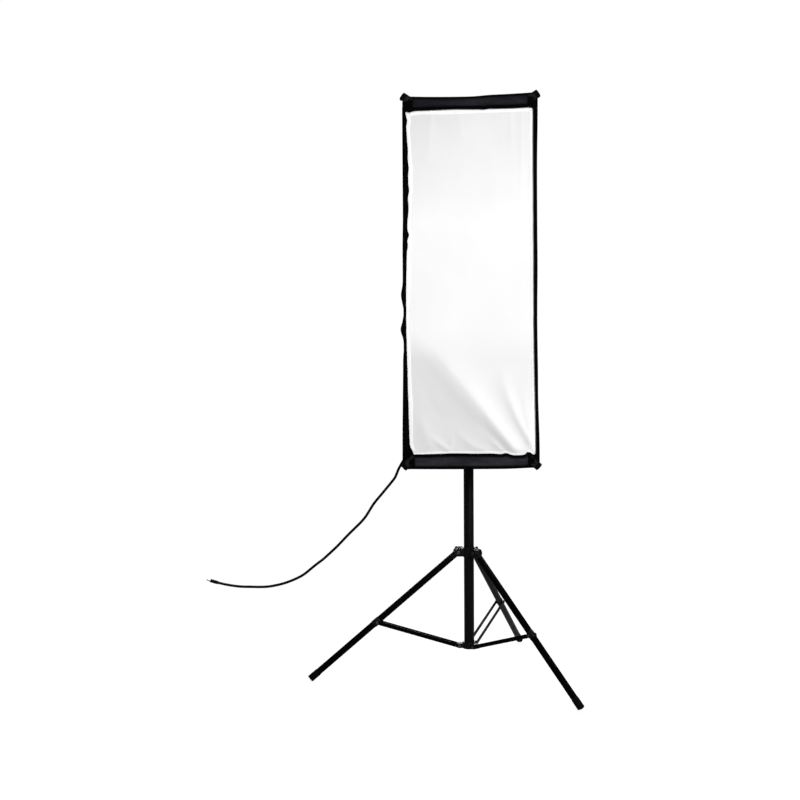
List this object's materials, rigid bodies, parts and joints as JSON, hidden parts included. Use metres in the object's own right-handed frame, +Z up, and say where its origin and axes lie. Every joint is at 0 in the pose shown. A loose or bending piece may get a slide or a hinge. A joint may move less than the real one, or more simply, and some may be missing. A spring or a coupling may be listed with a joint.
{
  "type": "studio softbox",
  "caption": "Tall narrow softbox with white diffusion front and black fabric sides, held by a tilting, turning head on a telescopic stand with folding legs; the supply lead hangs from a corner.",
  "frame": {"origin": "on the floor, on the axis of the column", "axes": "+Z up along the column; the softbox faces -Y; +X is to the right as one looks at the diffuser"},
  "size_m": [0.9933, 0.7788, 1.5797],
  "materials": {
    "powder_coat": "satin black powder coat",
    "black_nylon": "fine moulded grain",
    "rubber": "matt black rubber",
    "steel": "zinc-plated steel",
    "natural_nylon": "natural nylon",
    "rod_glass": "pultruded rod, satin",
    "rod_steel": "blackened steel",
    "box_cloth": "black woven nylon",
    "silver_cloth": "silver-coated lining",
    "diffusion_cloth": "white diffusion cloth",
    "webbing": "black webbing",
    "mat_cloth": "coated mat",
    "led": "phosphor over white package",
    "lead_jacket": "black soft jacket",
    "knob_plastic": "black moulded knob"
  },
  "bodies": {
    "base": {"main_tube": "powder_coat", "foot_plug": "black_nylon", "bottom_bracket": "black_nylon", "bracket_pins": "rod_steel", "lower_collar": "black_nylon", "lower_bushing": "natural_nylon"},
    "sliding_collar": {"leg_collar": "black_nylon", "leg_pins": "rod_steel"},
    "collar_knob": {"leg_collar_knob": "knob_plastic"},
    "leg_rear": {"leg_end_rear": "black_nylon", "leg_tube_rear": "powder_coat", "leg_clip_rear": "black_nylon", "foot_rear": "rubber"},
    "leg_left": {"leg_end_left": "black_nylon", "leg_tube_left": "powder_coat", "leg_clip_left": "black_nylon", "foot_left": "rubber"},
    "leg_right": {"leg_end_right": "black_nylon", "leg_tube_right": "powder_coat", "leg_clip_right": "black_nylon", "foot_right": "rubber"},
    "brace_rear": {"brace_rear": "powder_coat", "brace_rivets_rear": "rod_steel"},
    "brace_left": {"brace_left": "powder_coat", "brace_rivets_left": "rod_steel"},
    "brace_right": {"brace_right": "powder_coat", "brace_rivets_right": "rod_steel"},
    "lower_lock": {"lower_knob": "knob_plastic"},
    "middle_section": {"mid_tube": "powder_coat", "mid_glide": "natural_nylon", "upper_collar": "black_nylon", "upper_bushing": "natural_nylon"},
    "upper_lock": {"upper_knob": "knob_plastic"},
    "top_section": {"top_tube": "powder_coat", "top_glide": "natural_nylon", "spigot": "steel"},
    "receiver": {"receiver": "black_nylon", "tilt_bolt": "steel"},
    "clamp_knob": {"receiver_knob": "knob_plastic"},
    "shaft_screw": {"umbrella_screw": "knob_plastic"},
    "lever": {"tilt_lever": "knob_plastic"},
    "head": {"tilt_arm": "powder_coat", "hub": "black_nylon", "hub_screws": "steel", "rods": "rod_glass", "rod_ends": "rod_steel", "rod_tips": "black_nylon", "back_panel": "box_cloth", "led_mat": "mat_cloth", "led_chips": "led", "lead_terminal": "black_nylon", "skirt": "box_cloth", "lining": "silver_cloth", "diffuser": "diffusion_cloth", "front_border": "box_cloth", "corner_pockets": "webbing", "lead_boot": "lead_jacket", "lead": "lead_jacket", "plug_shell": "lead_jacket", "plug_barrel": "steel"}
  },
  "joints": [
    {"name": "leg_fold", "type": "slide", "parent": "base", "child": "sliding_collar", "axis": [0, 0, 1], "range_m": [0, 0.27438]},
    {"name": "leg_rear_hinge", "type": "hinge", "parent": "sliding_collar", "child": "leg_rear", "pos_m": [0.01225, 0.02956, 0.348], "axis": [-0.9239, 0.3827, 0], "range_deg": [0, 47.35]},
    {"name": "brace_rear_hinge", "type": "hinge", "parent": "base", "child": "brace_rear", "pos_m": [0.01148, 0.02772, 0.086], "axis": [0.9239, -0.3827, 0], "range_deg": [0, 68.24]},
    {"name": "leg_left_hinge", "type": "hinge", "parent": "sliding_collar", "child": "leg_left", "pos_m": [-0.03173, -0.00418, 0.348], "axis": [0.1305, -0.9914, 0], "range_deg": [0, 47.35]},
    {"name": "brace_left_hinge", "type": "hinge", "parent": "base", "child": "brace_left", "pos_m": [-0.02974, -0.00392, 0.086], "axis": [-0.1305, 0.9914, 0], "range_deg": [0, 68.24]},
    {"name": "leg_right_hinge", "type": "hinge", "parent": "sliding_collar", "child": "leg_right", "pos_m": [0.01948, -0.02539, 0.348], "axis": [0.7934, 0.6088, 0], "range_deg": [0, 47.35]},
    {"name": "brace_right_hinge", "type": "hinge", "parent": "base", "child": "brace_right", "pos_m": [0.01826, -0.0238, 0.086], "axis": [-0.7934, -0.6088, 0], "range_deg": [0, 68.24]},
    {"name": "middle_slide", "type": "slide", "parent": "base", "child": "middle_section", "axis": [0, 0, 1], "range_m": [-0.1, 0.39]},
    {"name": "top_slide", "type": "slide", "parent": "middle_section", "child": "top_section", "axis": [0, 0, 1], "range_m": [-0.1, 0.42]},
    {"name": "pan", "type": "hinge", "parent": "top_section", "child": "receiver", "pos_m": [0, 0, 1.005], "axis": [0, 0, 1], "continuous": true},
    {"name": "tilt", "type": "hinge", "parent": "receiver", "child": "head", "pos_m": [0, 0, 1.087], "axis": [-1, 0, 0], "range_deg": [-8, 80]},
    {"name": "collar_knob_turn", "type": "hinge", "parent": "sliding_collar", "child": "collar_knob", "pos_m": [0, 0, 0.348], "axis": [-0.6088, 0.7934, 0], "range_deg": [0, 270]},
    {"name": "lower_lock_turn", "type": "hinge", "parent": "base", "child": "lower_lock", "pos_m": [0, 0, 0.681], "axis": [-0.6088, 0.7934, 0], "range_deg": [0, 270]},
    {"name": "upper_lock_turn", "type": "hinge", "parent": "middle_section", "child": "upper_lock", "pos_m": [0, 0, 0.856], "axis": [-0.6088, 0.7934, 0], "range_deg": [0, 270]},
    {"name": "clamp_knob_turn", "type": "hinge", "parent": "receiver", "child": "clamp_knob", "pos_m": [0, 0, 1.023], "axis": [0, 1, 0], "range_deg": [0, 270]},
    {"name": "shaft_screw_turn", "type": "hinge", "parent": "receiver", "child": "shaft_screw", "pos_m": [0, 0, 1.057], "axis": [-1, 0, 0], "range_deg": [0, 270]},
    {"name": "tilt_lever_turn", "type": "hinge", "parent": "receiver", "child": "lever", "pos_m": [0, 0, 1.087], "axis": [1, 0, 0], "range_deg": [-60, 60]}
  ],
  "couplings": [
    {"joint": "leg_rear_hinge", "follows": "leg_fold", "rad_per_m": 3.0113},
    {"joint": "brace_rear_hinge", "follows": "leg_fold", "rad_per_m": 4.3402},
    {"joint": "leg_left_hinge", "follows": "leg_fold", "rad_per_m": 3.0113},
    {"joint": "brace_left_hinge", "follows": "leg_fold", "rad_per_m": 4.3402},
    {"joint": "leg_right_hinge", "follows": "leg_fold", "rad_per_m": 3.0113},
    {"joint": "brace_right_hinge", "follows": "leg_fold", "rad_per_m": 4.3402}
  ]
}
